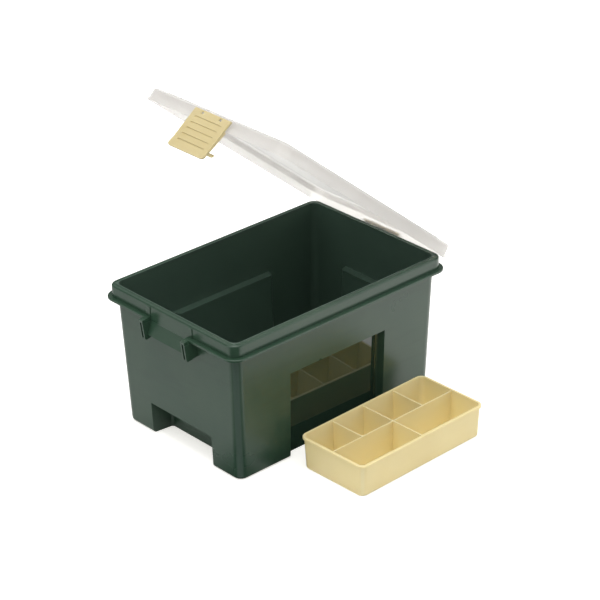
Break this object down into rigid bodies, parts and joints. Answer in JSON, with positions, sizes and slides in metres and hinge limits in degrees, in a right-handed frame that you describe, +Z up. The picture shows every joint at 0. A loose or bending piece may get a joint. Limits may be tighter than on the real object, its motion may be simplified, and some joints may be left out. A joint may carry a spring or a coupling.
{
  "type": "tackle station box",
  "caption": "Deep moulded tackle box with a clear hinged lid, a snap latch, wall recesses and a lift-out compartment tray standing beside it.",
  "frame": {"origin": "on the ground, in the middle of the tub at the level of its foot rim", "axes": "+Z up; X along the box's long side, with the latch end at -X and the lid's hinge at +X; +Y across the box, with the tray standing at -Y in front of the front wall"},
  "size_m": [0.388, 0.3748, 0.4452],
  "materials": {
    "tub_plastic": "dark green moulded polypropylene, soft gloss",
    "clear_plastic": "frosted clear polypropylene",
    "latch_plastic": "cream moulded plastic",
    "tray_plastic": "cream moulded plastic"
  },
  "bodies": {
    "tub_body": {"tub": "tub_plastic", "hinge_clip": "latch_plastic"},
    "lid_body": {"lid": "clear_plastic"},
    "latch_body": {"front_latch": "latch_plastic"},
    "tray_body": {"tray": "tray_plastic"}
  },
  "joints": [
    {"name": "lid_hinge", "type": "hinge", "parent": "tub_body", "child": "lid_body", "pos_m": [0.1884, 0, 0.196], "axis": [0, 1, 0], "range_deg": [-39.5, 70.5]},
    {"name": "latch_hinge", "type": "hinge", "parent": "lid_body", "child": "latch_body", "pos_m": [-0.09694, 0, 0.44223], "axis": [0, 1, 0], "range_deg": [-14, 66]},
    {"name": "tray_lift", "type": "slide", "parent": "tub_body", "child": "tray_body", "axis": [0, 0, 1], "range_m": [0, 0.3]}
  ]
}
